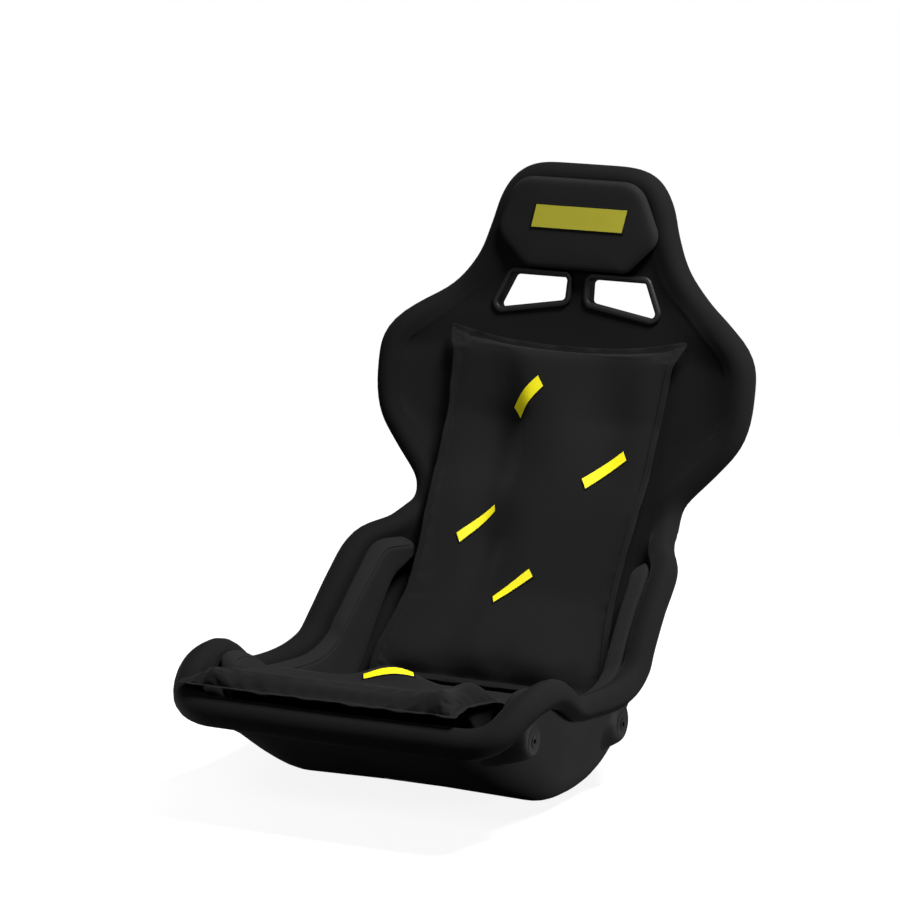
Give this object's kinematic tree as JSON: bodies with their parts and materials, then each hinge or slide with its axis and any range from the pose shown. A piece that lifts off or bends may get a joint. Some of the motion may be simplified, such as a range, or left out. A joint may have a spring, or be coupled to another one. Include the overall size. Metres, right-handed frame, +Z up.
{
  "type": "racing seat",
  "caption": "Bucket racing seat with a moulded shell, rolled padded rim, shoulder belt openings, thigh and head pads, and two lift-out moulded inserts.",
  "frame": {"origin": "under the middle of the seat at the lowest point of the shell, which is z = 0; x and y are at the middle of the seat's overall width and length", "axes": "+X across the seat to the right as seen from in front, +Y to the back of the seat, +Z up"},
  "size_m": [0.5856, 0.8454, 0.7897],
  "materials": {
    "grp": "satin glass-fibre gelcoat, black",
    "steel": "zinc plated",
    "foam": "soft polyurethane foam, hidden",
    "moulded_foam": "two-part moulded foam, hidden",
    "seat_fabric": "black knitted velour over foam",
    "pad_fabric": "black woven fabric",
    "insert_fabric": "black fire-retardant stretch fabric",
    "plastic": "satin black moulded trim",
    "strip": "hook-and-loop strip"
  },
  "bodies": {
    "seat": {"shell": "grp", "mount_bosses": "grp", "threaded_inserts": "steel", "edge_foam": "foam", "lining_foam": "foam", "cover": "seat_fabric", "harness_bezel_left": "plastic", "harness_bezel_right": "plastic", "harness_bezel_rear_left": "plastic", "harness_bezel_rear_right": "plastic", "crotch_trim_upper": "plastic", "crotch_trim_lower": "plastic", "head_pad_foam": "foam", "head_pad_cover": "pad_fabric", "head_pad_strips": "strip", "side_pad_left_foam": "foam", "side_pad_left_cover": "pad_fabric", "side_pad_right_foam": "foam", "side_pad_right_cover": "pad_fabric"},
    "back_insert": {"back_insert_fill": "moulded_foam", "back_insert_front": "insert_fabric", "back_insert_rear": "insert_fabric"},
    "seat_insert": {"seat_insert_fill": "moulded_foam", "seat_insert_top": "insert_fabric", "seat_insert_base": "insert_fabric"}
  },
  "joints": [
    {"name": "back_insert_lift", "type": "slide", "parent": "seat", "child": "back_insert", "axis": [0, -0.9063, 0.4226], "range_m": [0, 0.2]},
    {"name": "seat_insert_lift", "type": "slide", "parent": "seat", "child": "seat_insert", "axis": [0, -0.766, 0.6428], "range_m": [0, 0.3]}
  ]
}
